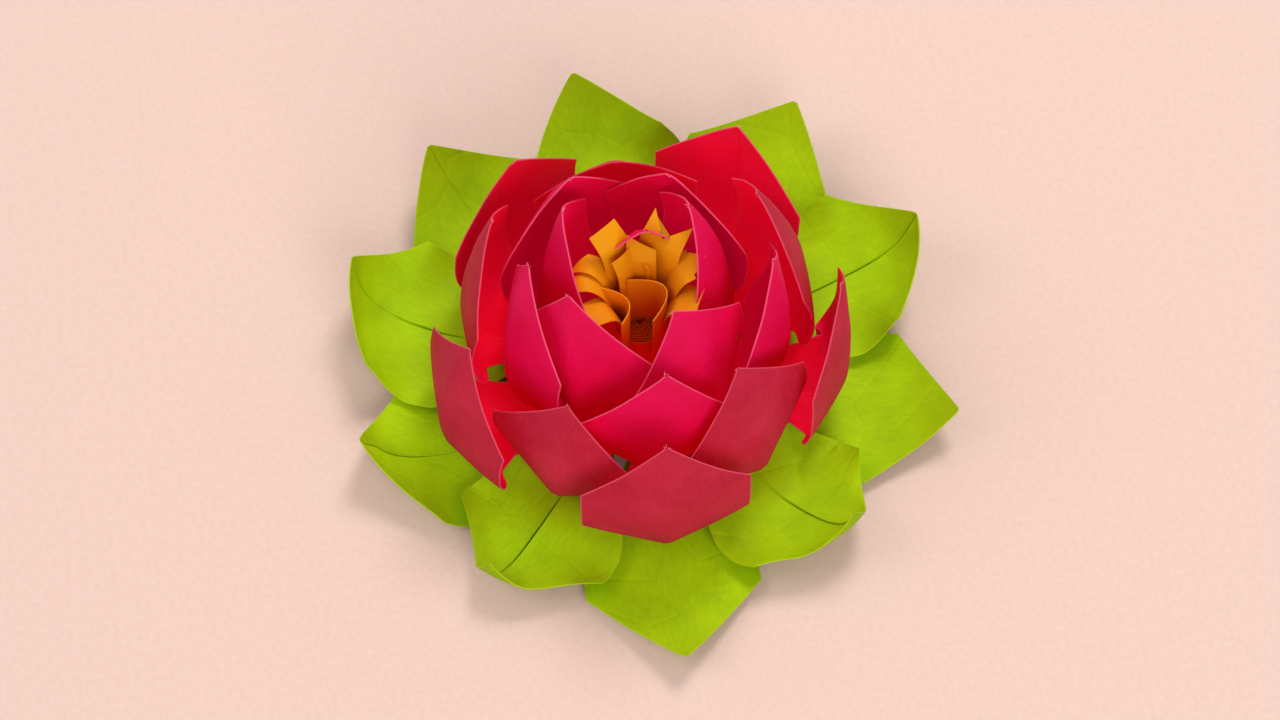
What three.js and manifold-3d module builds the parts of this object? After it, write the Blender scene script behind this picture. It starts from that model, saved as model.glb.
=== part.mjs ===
// A lotus folded from paper. Five sets of three nested boats, each boat one folded rectangle of
// paper that ends in a point on both sides, are tied at the waist with thread and fanned out to
// ten arms. The green boat of each set opens into two leaves and its two pink boats stand up as
// petals, so that four rings of five petals close round a rolled and fringed yellow strip.
// Millimetres, +Z up. The origin is on the flower's axis, on the surface that it stands on.
import * as THREE from "three";
import { mergeVertices } from "three/addons/utils/BufferGeometryUtils.js";
import Module from "manifold-3d";

// Paper: the corners and the long edges of each sheet are folded to its middle line.
const SHEET_WIDTH = 75; // flat, and a boat is half as wide
const TIP_HALF_ANGLE = 45; // degrees, left by the folded corners
const TIP_END_WIDTH = 1; // the point is a little blunt
const PLY_THICKNESS = 0.5; // the plies of one petal, pressed together
const SEAM_WIDTH = 1.6; // the strip along the middle line where the folded edges meet
const SEAM_DEPTH = 0.2;
const FACE_SHARE = 0.55; // from the seam to an edge, where a face has its middle point
const BODY_SPANS = 6; // along an arm, up to where its point starts
const TIP_SPANS = 3;
const CLEARANCE = 0.35; // between pieces that touch

// The waist, where the five sets lie side by side inside the thread.
const SET_PITCH = 5.3;
const LAYER_PITCH = 1.45; // from the green boat up to each pink one
const WAIST_WIDTH = 6; // of the gathered section, along the paper
const WAIST_FOLD = 50; // degrees that either side of the gathered section stands up
const ARM_START = 15; // radius where a boat has come round to its own arm
const ARM_START_WIDTH = 10;

// How far along an arm a boat takes to open to its full width, and for its sides to lie down.
const LEAF_OPENING = 32;
const OUTER_OPENING = 30;
const INNER_OPENING = 25;
const LEAF_FLATTENING = 24;
const PETAL_FLATTENING = 40;

// The thread: turns side by side, pulled flat against the waist.
const THREAD_DIAMETER = 0.7;
const THREAD_TURNS = 3;
const CORNER_SEGMENTS = 4;

// Arms are counted from the front, and each set joins two of them.
const ARM_COUNT = 10;
const FRONT_ANGLE = 270; // degrees
const SETS = [
  { name: "left", arms: [8, 7], place: -2 },
  { name: "mid_left", arms: [9, 6], place: -1 },
  { name: "middle", arms: [0, 5], place: 0 },
  { name: "mid_right", arms: [1, 4], place: 1 },
  { name: "right", arms: [2, 3], place: 2 },
];

// Leaves: an even arm lies on the table, an odd one rides over the edges of its neighbours.
// Each is given by its tip, the radius where it curls up and the radius of its hollow.
const LEAF_REST_START = 30; // radius where a leaf comes down to lie flat
const LEAF_REST_END = 44;
const LEAF_LIFT = 2.8; // of an odd leaf above an even one
const LEAF_CUPPED = 42; // along an arm, where a leaf has its full cup
const LEAF_CREASE = 1; // degrees that either half rises from the middle line
const LEAVES = [
  { tipRadius: 71.5, tipHeight: 8, tipSide: 0, reach: 60, cup: 120 },
  { tipRadius: 61, tipHeight: 16, tipSide: 4, reach: 65, cup: 28 },
  { tipRadius: 70.5, tipHeight: 10, tipSide: -1.5, reach: 60, cup: 90 },
  { tipRadius: 67.5, tipHeight: 20, tipSide: 0, reach: 65, cup: 28 },
  { tipRadius: 70.5, tipHeight: 16, tipSide: -2, reach: 60, cup: 50 },
  { tipRadius: 69, tipHeight: 18, tipSide: 6, reach: 60, cup: 15 },
  { tipRadius: 68.5, tipHeight: 16, tipSide: 0, reach: 60, cup: 50 },
  { tipRadius: 65, tipHeight: 21, tipSide: -6, reach: 66, cup: 28 },
  { tipRadius: 64, tipHeight: 14, tipSide: -5, reach: 61, cup: 40 },
  { tipRadius: 60, tipHeight: 12, tipSide: -4, reach: 65, cup: 30 },
];

// Petals: where the tip stands, how far out the petal bellies, the radius of its hollow and the
// degrees by which it is turned about its own middle line. A floor ends where a petal turns up,
// given as the radius on an even and on an odd arm.
const PETAL_CREASE = 4;
const BELLY_SHARE = 0.55; // of the tip's height, where the upright part starts to lean in
const OUTER_FLOOR_ENDS = [39, 32];
const OUTER_PETALS = [
  { tipRadius: 40.5, tipHeight: 44, tipSide: 0, belly: 48, cup: 40 },
  { tipRadius: 30, tipHeight: 45, tipSide: -1, belly: 42, cup: 38 },
  { tipRadius: 41.5, tipHeight: 45, tipSide: 5, belly: 47, cup: 40 },
  { tipRadius: 29, tipHeight: 50, tipSide: 4, belly: 43, cup: 36 },
  { tipRadius: 44.5, tipHeight: 40, tipSide: 0, belly: 47, cup: 40 },
  { tipRadius: 27, tipHeight: 46, tipSide: 2, belly: 42, cup: 38 },
  { tipRadius: 39, tipHeight: 43, tipSide: 0, belly: 47, cup: 40 },
  { tipRadius: 32, tipHeight: 50, tipSide: -4, belly: 42, cup: 36 },
  { tipRadius: 39, tipHeight: 43, tipSide: 0, belly: 50, cup: 36 },
  { tipRadius: 33, tipHeight: 42, tipSide: 1, belly: 42, cup: 38 },
];
const INNER_FLOOR_ENDS = [18, 18];
const INNER_PETALS = [
  { tipRadius: 26, tipHeight: 48, tipSide: 2, belly: 36, cup: 34, turn: 0 },
  { tipRadius: 14, tipHeight: 52, tipSide: -4, belly: 29.5, cup: 26, turn: 0 },
  { tipRadius: 27, tipHeight: 52, tipSide: 4, belly: 35, cup: 28, turn: 0 },
  { tipRadius: 13, tipHeight: 57, tipSide: 4, belly: 25, cup: 20, turn: -12 },
  { tipRadius: 20, tipHeight: 52, tipSide: 4, belly: 33, cup: 28, turn: 0 },
  { tipRadius: 5, tipHeight: 53, tipSide: -2, belly: 22, cup: 17, turn: 0 },
  { tipRadius: 23, tipHeight: 53, tipSide: -2, belly: 36.5, cup: 28, turn: -4 },
  { tipRadius: 17, tipHeight: 57, tipSide: -5, belly: 24, cup: 20, turn: 12 },
  { tipRadius: 22, tipHeight: 54, tipSide: -7, belly: 34, cup: 28, turn: -12 },
  { tipRadius: 16, tipHeight: 54, tipSide: -8, belly: 27.5, cup: 26, turn: 0 },
];

// The yellow strip: a close roll with cut tabs that spread from its upper edge.
const ROLL_DIAMETER = 12;
const ROLL_HEIGHT = 17;
const ROLL_SIDES = 20;
const TAB_ROOT = 6; // depth of a tab's root below the roll's upper edge
const TAB_BEND = 0.9; // share of a tab's height above the roll where it turns outwards
const TAB_SPANS = 4;
const TABS = [
  { angle: 118, root: 5, width: 7, tipRadius: 7.5, tipHeight: 44 },
  { angle: 46, root: 5, width: 9, tipRadius: 8, tipHeight: 43 },
  { angle: 5, root: 5, width: 9, tipRadius: 10, tipHeight: 42 },
  { angle: 322, root: 5, width: 9, tipRadius: 12, tipHeight: 39 },
  { angle: 277, root: 5, width: 9, tipRadius: 9, tipHeight: 36 },
  { angle: 240, root: 5, width: 8, tipRadius: 10, tipHeight: 37 },
  { angle: 190, root: 5, width: 7, tipRadius: 12, tipHeight: 40 },
  { angle: 164, root: 5, width: 7, tipRadius: 12, tipHeight: 42 },
  { angle: 300, root: 2, width: 7, tipRadius: 4, tipHeight: 42 },
  { angle: 60, root: 2, width: 8, tipRadius: 5, tipHeight: 44 },
  { angle: 180, root: 2, width: 7, tipRadius: 4, tipHeight: 43 },
];

// Colours of the dyed paper and of the cotton.
const GREEN = 0x9dbb10;
const ROSE = 0xd81b45;
const YELLOW = 0xe07a10;
const COTTON = 0xe8e0d0;
const PAPER_ROUGHNESS = 0.7;
const THREAD_ROUGHNESS = 0.9;

const radians = THREE.MathUtils.degToRad;
const lerp = THREE.MathUtils.lerp;
const UP = new THREE.Vector3(0, 0, 1);
const WELD = 1e-4; // points closer than this are one
const GREEN_LAYER = 0;
const OUTER_LAYER = 1;
const INNER_LAYER = 2;

// Heights at the waist follow from the thread that runs under the lowest boat.
const waistHeight = THREAD_DIAMETER + CLEARANCE + PLY_THICKNESS / 2;
const restHeight = PLY_THICKNESS / 2;
const waistSection = { width: WAIST_WIDTH, fold: WAIST_FOLD, bend: 0 };
const isOdd = (arm) => arm % 2 === 1;
const armAngle = (arm) => radians(FRONT_ANGLE + (arm * 360) / ARM_COUNT);

// Even shares from nothing to one, both ends included.
const shares = (spans) => Array.from({ length: spans + 1 }, (_, step) => step / spans);

// A point given by an arm's radius, sideways distance and height.
function armPoint(arm, radius, side, height) {
  const angle = armAngle(arm);
  const x = radius * Math.cos(angle) - side * Math.sin(angle);
  const y = radius * Math.sin(angle) + side * Math.cos(angle);
  return new THREE.Vector3(x, y, height);
}

// The height of a layer's middle line on an arm, between the waist and where the leaf lies.
function floorHeight(arm, layer, radius) {
  const share = THREE.MathUtils.clamp((radius - ARM_START) / (LEAF_REST_START - ARM_START), 0, 1);
  const lift = isOdd(arm) ? LEAF_LIFT : 0;
  const leaf = lerp(waistHeight + lift / 2, restHeight + lift, share);
  return leaf + layer * LAYER_PITCH;
}

// The middle line of a leaf, from the start of its arm to its tip.
function leafLine(arm) {
  const { tipRadius, tipHeight, tipSide, reach } = LEAVES[arm];
  const height = floorHeight(arm, GREEN_LAYER, LEAF_REST_END);
  const start = armPoint(arm, ARM_START, 0, floorHeight(arm, GREEN_LAYER, ARM_START));
  const restStart = armPoint(arm, LEAF_REST_START, 0, height);
  const restEnd = armPoint(arm, LEAF_REST_END, 0, height);
  const bend = armPoint(arm, reach, tipSide / 2, height);
  const tip = armPoint(arm, tipRadius, tipSide, tipHeight);
  const line = new THREE.CurvePath();
  line.add(new THREE.LineCurve3(start, restStart));
  line.add(new THREE.LineCurve3(restStart, restEnd));
  line.add(new THREE.QuadraticBezierCurve3(restEnd, bend, tip));
  return line;
}

// The middle line of a petal, along the leaf and then up to its tip.
function petalLine(arm, layer, petal, floorEnd) {
  const { tipRadius, tipHeight, tipSide, belly } = petal;
  const height = floorHeight(arm, layer, floorEnd);
  const start = armPoint(arm, ARM_START, 0, floorHeight(arm, layer, ARM_START));
  const turn = armPoint(arm, floorEnd, 0, height);
  const low = armPoint(arm, belly, 0, height);
  const high = armPoint(arm, belly, tipSide / 2, tipHeight * BELLY_SHARE);
  const tip = armPoint(arm, tipRadius, tipSide, tipHeight);
  const line = new THREE.CurvePath();
  line.add(new THREE.LineCurve3(start, turn));
  line.add(new THREE.CubicBezierCurve3(turn, low, high, tip));
  return line;
}

// A section's outline as pairs of across and rise. It starts in the seam, a shallow groove in
// the inner face, and runs to the left edge, back along the outer face and round the right edge.
function sectionOutline({ width, fold, bend }) {
  const half = width / 2;
  const seam = Math.min(SEAM_WIDTH / 2, half / 3);
  const skin = PLY_THICKNESS / 2;
  const foldAngle = radians(fold);
  const place = (distance, offset) => {
    const run = distance - seam;
    const angle = foldAngle + run * bend;
    const middle = foldAngle + (run * bend) / 2;
    const chord = bend > 0 ? (2 / bend) * Math.sin((run * bend) / 2) : run;
    const across = seam + chord * Math.cos(middle) - offset * Math.sin(angle);
    const rise = chord * Math.sin(middle) + offset * Math.cos(angle);
    return [across, rise];
  };
  const distances = [half, lerp(seam, half, FACE_SHARE)];
  const mitre = Math.tan(foldAngle / 2);
  const outer = distances.map((distance) => place(distance, -skin));
  outer.push([seam + skin * mitre, -skin]);
  const inner = distances.map((distance) => place(distance, skin));
  inner.push([seam - skin * mitre, skin]);
  const mirror = ([across, rise]) => [-across, rise];
  const groove = [0, skin - SEAM_DEPTH];
  return [
    groove,
    ...inner.map(mirror).toReversed(),
    ...outer.map(mirror),
    ...outer.toReversed(),
    ...inner,
  ];
}

// A station of a boat: its outline set across the middle line at a point.
function station(point, along, across, section) {
  const rise = new THREE.Vector3().crossVectors(along, across);
  return sectionOutline(section).map(([distance, height]) =>
    point.clone().addScaledVector(across, distance).addScaledVector(rise, height),
  );
}

// The stations of one arm, from its start out to its tip. The end of a boat that runs
// towards the waist is walked backwards, so that its left and right change places.
function armStations(arm, line, shape, backwards) {
  const length = line.getLength();
  const fullHalf = SHEET_WIDTH / 4;
  const slope = Math.tan(radians(TIP_HALF_ANGLE));
  const roof = fullHalf / slope;
  const blunt = TIP_END_WIDTH / 2 / slope;
  const body = shares(BODY_SPANS).map((share) => share * (length - roof));
  const point = shares(TIP_SPANS).map((share) => length - roof + share * (roof - blunt));
  const sideways = armPoint(arm, 0, 1, 0);
  return [...body, ...point.slice(1)].map((distance) => {
    const share = distance / length;
    const along = line.getTangentAt(share);
    const open = THREE.MathUtils.smoothstep(distance, 0, shape.opening);
    const flat = THREE.MathUtils.smoothstep(distance, 0, shape.flattening);
    const cupped = THREE.MathUtils.smoothstep(distance, ...shape.cupping);
    const across = sideways.clone().addScaledVector(along, -sideways.dot(along)).normalize();
    across.applyAxisAngle(along, radians((shape.turn ?? 0) * flat));
    const half = Math.min(lerp(ARM_START_WIDTH / 2, fullHalf, open), (length - distance) * slope);
    const fold = lerp(WAIST_FOLD, shape.crease, flat);
    const section = { width: 2 * half, fold, bend: cupped / shape.cup };
    if (backwards) {
      along.negate();
      across.negate();
    }
    return station(line.getPointAt(share), along, across, section);
  });
}

// The station between the waist and the start of an arm, where the boat comes round to it.
function neckStation(arm, place, layer, backwards) {
  const x = place * SET_PITCH;
  const angle = armAngle(arm);
  const run = place === 0 ? ARM_START / 2 : Math.abs(x * Math.tan(angle));
  const waist = new THREE.Vector3(x, 0, waistHeight + layer * LAYER_PITCH);
  const bend = new THREE.Vector3(x, run * Math.sign(Math.sin(angle)), waist.z);
  const start = armPoint(arm, ARM_START, 0, floorHeight(arm, layer, ARM_START));
  const line = new THREE.QuadraticBezierCurve3(waist, bend, start);
  const along = line.getTangent(0.5);
  if (backwards) along.negate();
  const across = new THREE.Vector3().crossVectors(UP, along).normalize();
  return station(line.getPoint(0.5), along, across, waistSection);
}

// The waist itself, held straight under the thread.
function waistStations(place, layer, along) {
  const reach = (THREAD_TURNS * THREAD_DIAMETER) / 2;
  const across = new THREE.Vector3().crossVectors(UP, along);
  return [-reach, reach].map((step) => {
    const point = new THREE.Vector3(place * SET_PITCH, 0, waistHeight + layer * LAYER_PITCH);
    point.addScaledVector(along, step);
    return station(point, along, across, waistSection);
  });
}

// A closed skin over a row of outlines that all have the same number of points.
function loft(outlines) {
  const size = outlines[0].length;
  const positions = outlines.flatMap((outline) => outline.flatMap((point) => point.toArray()));
  const faces = [];
  for (let row = 0; row + 1 < outlines.length; row += 1) {
    for (let column = 0; column < size; column += 1) {
      const here = row * size + column;
      const beside = row * size + ((column + 1) % size);
      faces.push(here, beside, beside + size, here, beside + size, here + size);
    }
  }
  const last = (outlines.length - 1) * size;
  for (let corner = 1; corner + 1 < size; corner += 1) {
    faces.push(0, corner + 1, corner);
    faces.push(last, last + corner, last + corner + 1);
  }
  const geometry = new THREE.BufferGeometry();
  geometry.setAttribute("position", new THREE.Float32BufferAttribute(positions, 3));
  geometry.setIndex(faces);
  return geometry;
}

// One boat of a set, from the tip of its first arm through the waist to the tip of its second.
function boat(set, layer, lines, shapes) {
  const [first, second] = set.arms;
  const along = new THREE.Vector3(0, Math.sign(Math.sin(armAngle(second))), 0);
  return loft([
    ...armStations(first, lines[0], shapes[0], true).toReversed(),
    neckStation(first, set.place, layer, true),
    ...waistStations(set.place, layer, along),
    neckStation(second, set.place, layer, false),
    ...armStations(second, lines[1], shapes[1], false),
  ]);
}

function leafBoat(set) {
  const lines = set.arms.map((arm) => leafLine(arm));
  const spread = {
    crease: LEAF_CREASE,
    opening: LEAF_OPENING,
    flattening: LEAF_FLATTENING,
    cupping: [LEAF_REST_END - ARM_START, LEAF_CUPPED],
  };
  const shapes = set.arms.map((arm) => ({ ...LEAVES[arm], ...spread }));
  return boat(set, GREEN_LAYER, lines, shapes);
}

function petalBoat(set, layer, petals, floorEnds, opening) {
  const lines = set.arms.map((arm) => petalLine(arm, layer, petals[arm], floorEnds[arm % 2]));
  const spread = {
    crease: PETAL_CREASE,
    opening,
    flattening: PETAL_FLATTENING,
    cupping: [0, PETAL_FLATTENING],
  };
  const shapes = set.arms.map((arm) => ({ ...petals[arm], ...spread }));
  return boat(set, layer, lines, shapes);
}

// The stack of boats inside the thread.
const waistOutline = sectionOutline(waistSection);
const waistHalf = Math.max(...waistOutline.map(([across]) => across));
const waistRise = Math.max(...waistOutline.map(([, rise]) => rise));
const bundleHalf = Math.max(...SETS.map(({ place }) => place)) * SET_PITCH + waistHalf;
const bundleTop = waistHeight + INNER_LAYER * LAYER_PITCH + waistRise;
const threadTop = bundleTop + CLEARANCE + THREAD_DIAMETER;

// An upright rectangle with round corners, drawn across and up.
function roundedRectangle(path, half, bottom, top, corner) {
  path.moveTo(corner - half, bottom);
  path.lineTo(half - corner, bottom);
  path.absarc(half - corner, bottom + corner, corner, -Math.PI / 2, 0);
  path.lineTo(half, top - corner);
  path.absarc(half - corner, top - corner, corner, 0, Math.PI / 2);
  path.lineTo(corner - half, top);
  path.absarc(corner - half, top - corner, corner, Math.PI / 2, Math.PI);
  path.lineTo(-half, bottom + corner);
  path.absarc(corner - half, bottom + corner, corner, Math.PI, Math.PI * 1.5);
  return path;
}

// The thread as one band of turns round the waist, flat where it lies on the table.
function threadBand() {
  const innerHalf = bundleHalf + CLEARANCE;
  const outerHalf = innerHalf + THREAD_DIAMETER;
  const corner = THREAD_DIAMETER;
  const band = roundedRectangle(new THREE.Shape(), outerHalf, 0, threadTop, 2 * corner);
  const hole = [THREAD_DIAMETER, threadTop - THREAD_DIAMETER];
  band.holes.push(roundedRectangle(new THREE.Path(), innerHalf, hole[0], hole[1], corner));
  const depth = THREAD_TURNS * THREAD_DIAMETER;
  const options = { depth, bevelEnabled: false, curveSegments: CORNER_SEGMENTS };
  const geometry = new THREE.ExtrudeGeometry(band, options);
  return geometry.translate(0, 0, -depth / 2).rotateX(Math.PI / 2);
}

const wasm = await Module();
wasm.setup();

function toSolid(geometry) {
  const plain = geometry.clone();
  plain.deleteAttribute("normal");
  plain.deleteAttribute("uv");
  const merged = mergeVertices(plain, WELD);
  const vertProperties = merged.getAttribute("position").array;
  const triVerts = merged.index.array;
  return new wasm.Manifold(new wasm.Mesh({ numProp: 3, vertProperties, triVerts }));
}

function toGeometry(solid) {
  const { vertProperties, triVerts } = solid.getMesh();
  const geometry = new THREE.BufferGeometry();
  geometry.setAttribute("position", new THREE.BufferAttribute(vertProperties, 3));
  geometry.setIndex(new THREE.BufferAttribute(triVerts, 1));
  return geometry;
}

// One cut tab that rises from the roll and spreads outwards.
function tab({ angle, root, width, tipRadius, tipHeight }, rollTop) {
  const place = (out, height) =>
    new THREE.Vector3(out * Math.cos(radians(angle)), out * Math.sin(radians(angle)), height);
  const start = place(root, rollTop - TAB_ROOT);
  const bend = place(root, lerp(rollTop, tipHeight, TAB_BEND));
  const line = new THREE.QuadraticBezierCurve3(start, bend, place(tipRadius, tipHeight));
  const across = place(1, 0).applyAxisAngle(UP, Math.PI / 2);
  const half = width / 2;
  const skin = PLY_THICKNESS / 2;
  const corners = [
    [half, skin],
    [-half, skin],
    [-half, -skin],
    [half, -skin],
  ];
  const outlines = shares(TAB_SPANS).map((share) => {
    const rise = new THREE.Vector3().crossVectors(line.getTangent(share), across);
    return corners.map(([side, face]) =>
      line.getPoint(share).addScaledVector(across, side).addScaledVector(rise, face),
    );
  });
  return loft(outlines);
}

// The rolled strip stands on the thread, with its tabs joined to it as one sheet.
function fringedRoll() {
  const bottom = threadTop + CLEARANCE;
  const rollTop = bottom + ROLL_HEIGHT;
  const radius = ROLL_DIAMETER / 2;
  const roll = new THREE.CylinderGeometry(radius, radius, ROLL_HEIGHT, ROLL_SIDES);
  roll.rotateX(Math.PI / 2).translate(0, 0, bottom + ROLL_HEIGHT / 2);
  const solids = [roll, ...TABS.map((shape) => tab(shape, rollTop))].map(toSolid);
  return toGeometry(solids.reduce((whole, piece) => whole.add(piece)));
}

const lotus = new THREE.Group();

function addPiece(name, geometry, colour, roughness) {
  const material = new THREE.MeshStandardMaterial({ color: colour, roughness, metalness: 0 });
  const mesh = new THREE.Mesh(geometry, material);
  mesh.name = name;
  lotus.add(mesh);
}

for (const set of SETS) {
  addPiece(`leaf_sheet_${set.name}`, leafBoat(set), GREEN, PAPER_ROUGHNESS);
  const outer = petalBoat(set, OUTER_LAYER, OUTER_PETALS, OUTER_FLOOR_ENDS, OUTER_OPENING);
  addPiece(`outer_petal_sheet_${set.name}`, outer, ROSE, PAPER_ROUGHNESS);
  const inner = petalBoat(set, INNER_LAYER, INNER_PETALS, INNER_FLOOR_ENDS, INNER_OPENING);
  addPiece(`inner_petal_sheet_${set.name}`, inner, ROSE, PAPER_ROUGHNESS);
}
addPiece("stamen_roll", fringedRoll(), YELLOW, PAPER_ROUGHNESS);
addPiece("binding_thread", threadBand(), COTTON, THREAD_ROUGHNESS);

export default lotus;
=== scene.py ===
# %% [markdown]
# # A lotus folded from paper
# The real flower is fifteen folded sheets and a rolled strip, tied with thread. The solid model gives
# every sheet its place. This lesson dresses it: each sheet is folded again with its flaps, seam and
# rounded folds, and gets a paper finish whose pattern follows the sheet and not the room. Some light
# and shade is painted into that finish's colours.

# %% Load the solid model
import math

import bmesh
import bpy
import numpy as np
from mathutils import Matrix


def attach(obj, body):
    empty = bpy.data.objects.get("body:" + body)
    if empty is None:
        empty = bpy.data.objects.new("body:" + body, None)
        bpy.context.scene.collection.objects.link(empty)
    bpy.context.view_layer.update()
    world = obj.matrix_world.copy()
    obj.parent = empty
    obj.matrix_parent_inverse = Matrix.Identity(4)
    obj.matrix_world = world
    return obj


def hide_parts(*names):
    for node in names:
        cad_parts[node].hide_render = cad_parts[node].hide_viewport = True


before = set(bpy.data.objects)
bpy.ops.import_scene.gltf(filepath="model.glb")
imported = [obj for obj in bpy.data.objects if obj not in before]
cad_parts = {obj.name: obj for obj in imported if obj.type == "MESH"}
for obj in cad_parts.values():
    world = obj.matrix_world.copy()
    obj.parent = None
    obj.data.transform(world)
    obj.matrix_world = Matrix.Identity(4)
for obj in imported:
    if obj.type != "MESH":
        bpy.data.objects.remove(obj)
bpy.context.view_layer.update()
MM = 0.001
print("solid nodes:", len(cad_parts))

# %% [markdown]
# ## How a sheet runs
# Ten arms stand round the axis, counted from the front. A sheet starts at the tip of one arm, is
# gathered at the waist and ends at the tip of another arm. The sizes are the solid model's own, in
# millimetres, so that each folded sheet lies where its solid does.

# %% Sizes of the sheets and the waist
HALF_WIDTH = 75 / 4  # a sheet is folded to half of its 75 mm
TIP_END = 0.5  # half of the blunt end
SKIN = 0.25  # half of the solid sheet, from which the heights are counted
PLY = 0.15  # half of the real plies, pressed together
SEAM = 0.8  # half of the strip along which the flaps meet
CLEARANCE = 0.35
THREAD = 0.7
TURNS = 3
SET_PITCH = 5.3
LAYER_PITCH = 1.45
WAIST_WIDTH = 6
WAIST_FOLD = 50
WAIST_RISE = 1.85  # of a gathered section above its own middle line
ARM_START = 15
ARM_START_WIDTH = 10
WAIST_HEIGHT = THREAD + CLEARANCE + SKIN
LEAF_REST = (30, 44)
LEAF_LIFT = 2.8
BELLY_SHARE = 0.55
SETS = {
    "left": (8, 7, -2),
    "mid_left": (9, 6, -1),
    "middle": (0, 5, 0),
    "mid_right": (1, 4, 1),
    "right": (2, 3, 2),
}

# Tip radius, height and side, reach before it curls, hollow, lift of the flaps, how open the seam is.
LEAVES = [
    (71.5, 8, 0, 60, 120, 0, 0),
    (61, 16, 4, 65, 28, 1.6, 1),
    (70.5, 10, -1.5, 60, 90, 0, 0),
    (67.5, 20, 0, 65, 28, 0.9, 1),
    (70.5, 16, -2, 60, 50, 0, 0),
    (69, 18, 6, 60, 15, 0, 0),
    (68.5, 16, 0, 60, 50, 0.1, 0.3),
    (65, 21, -6, 66, 28, 0.8, 0.7),
    (64, 14, -5, 61, 40, 1.3, 1),
    (60, 12, -4, 65, 30, 2.6, 1),
]

# Tip radius, height and side, belly, hollow, turn about the middle line.
OUTER_PETALS = [
    (40.5, 44, 0, 48, 40, 0),
    (30, 45, -1, 42, 38, 0),
    (41.5, 45, 5, 47, 40, 0),
    (29, 50, 4, 43, 36, 0),
    (44.5, 40, 0, 47, 40, 0),
    (27, 46, 2, 42, 38, 0),
    (39, 43, 0, 47, 40, 0),
    (32, 50, -4, 42, 36, 0),
    (39, 43, 0, 50, 36, 0),
    (33, 42, 1, 42, 38, 0),
]
INNER_PETALS = [
    (26, 48, 2, 36, 34, 0),
    (14, 52, -4, 29.5, 26, 0),
    (27, 52, 4, 35, 28, 0),
    (13, 57, 4, 25, 20, -12),
    (20, 52, 4, 33, 28, 0),
    (5, 53, -2, 22, 17, 0),
    (23, 53, -2, 36.5, 28, -4),
    (17, 57, -5, 24, 20, 12),
    (22, 54, -7, 34, 28, -12),
    (16, 54, -8, 27.5, 26, 0),
]
UP = np.array((0.0, 0.0, 1.0))
print("arms:", len(LEAVES), "petals:", len(OUTER_PETALS) + len(INNER_PETALS))


# %% Points and curves on an arm
def smoothstep(value, low, high):
    share = np.clip((value - low) / (high - low), 0, 1)
    return share * share * (3 - 2 * share)


def arm_angle(arm):
    return math.radians(270 + 36 * arm)


def arm_point(arm, radius, side, height):
    cos, sin = math.cos(arm_angle(arm)), math.sin(arm_angle(arm))
    return np.array((radius * cos - side * sin, radius * sin + side * cos, height))


def bezier(*points, count=80):
    share = np.linspace(0, 1, count)[:, None]
    rows = [np.asarray(point)[None, :] for point in points]
    while len(rows) > 1:
        rows = [a * (1 - share) + b * share for a, b in zip(rows, rows[1:])]
    return rows[0]


def floor_height(arm, layer, radius):
    share = np.clip((radius - ARM_START) / (LEAF_REST[0] - ARM_START), 0, 1)
    lift = LEAF_LIFT * (arm % 2)
    return (WAIST_HEIGHT + lift / 2) * (1 - share) + (SKIN + lift) * share + layer * LAYER_PITCH


def leaf_line(arm):
    tip_radius, tip_height, tip_side, reach = LEAVES[arm][:4]
    height = floor_height(arm, 0, LEAF_REST[1])
    start = arm_point(arm, ARM_START, 0, floor_height(arm, 0, ARM_START))
    rest = [arm_point(arm, radius, 0, height) for radius in LEAF_REST]
    bend = arm_point(arm, reach, tip_side / 2, height)
    tip = arm_point(arm, tip_radius, tip_side, tip_height)
    return np.vstack((bezier(start, rest[0])[:-1], bezier(*rest)[:-1], bezier(rest[1], bend, tip)))


def petal_line(arm, layer, petal, floor_end):
    tip_radius, tip_height, tip_side, belly = petal[:4]
    height = floor_height(arm, layer, floor_end)
    start = arm_point(arm, ARM_START, 0, floor_height(arm, layer, ARM_START))
    turn = arm_point(arm, floor_end, 0, height)
    low = arm_point(arm, belly, 0, height)
    high = arm_point(arm, belly, tip_side / 2, tip_height * BELLY_SHARE)
    tip = arm_point(arm, tip_radius, tip_side, tip_height)
    return np.vstack((bezier(start, turn)[:-1], bezier(turn, low, high, tip)))


front_leaf = np.linalg.norm(np.diff(leaf_line(0), axis=0), axis=1).sum()
print("front leaf is", round(float(front_leaf), 1), "mm from the neck")

# %% [markdown]
# ## One folded sheet
# A folded sheet could be a flat plane with a Solidify modifier, but then it has no flaps. Here its
# cross-section is drawn as a closed loop: the outer face, a rounded fold at either edge, and on the
# inner face two flaps whose cut edges meet over the middle line and stand up a little. The loop is
# swept along the arm. Every point keeps how far it is along and across the paper, which face it is
# on and how near a fold it is, so that the finish can follow the sheet.

# %% The cross-section with its flaps
FACE_STEPS = np.array((1, 0.96, 0.88, 0.76, 0.64, 0.52, 0.4, 0.28, 0.16, 0.07, 0))
FLAP_GAP = 0.25  # half of the slit between the cut edges
PLY_DEPTH = 0.18  # of the open slit
FLAP_CURL = 3.5  # a high value keeps the flap's lift close to its cut edge
FOLD_BULGE = 0.08  # of a rounded fold past the flat paper


def fold_round(u, offset, fold, bend):
    """A point u across the sheet and offset from its middle layer, bent up beside the seam."""
    run = max(u - SEAM, 0)
    angle = fold + run * bend if u > SEAM else 0
    middle = fold + run * bend / 2
    chord = 2 / bend * math.sin(run * bend / 2) if bend > 1e-9 else run
    flat = min(u, SEAM)
    across = flat + chord * math.cos(middle) - offset * math.sin(angle)
    return across, chord * math.sin(middle) + offset * math.cos(angle)


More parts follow.
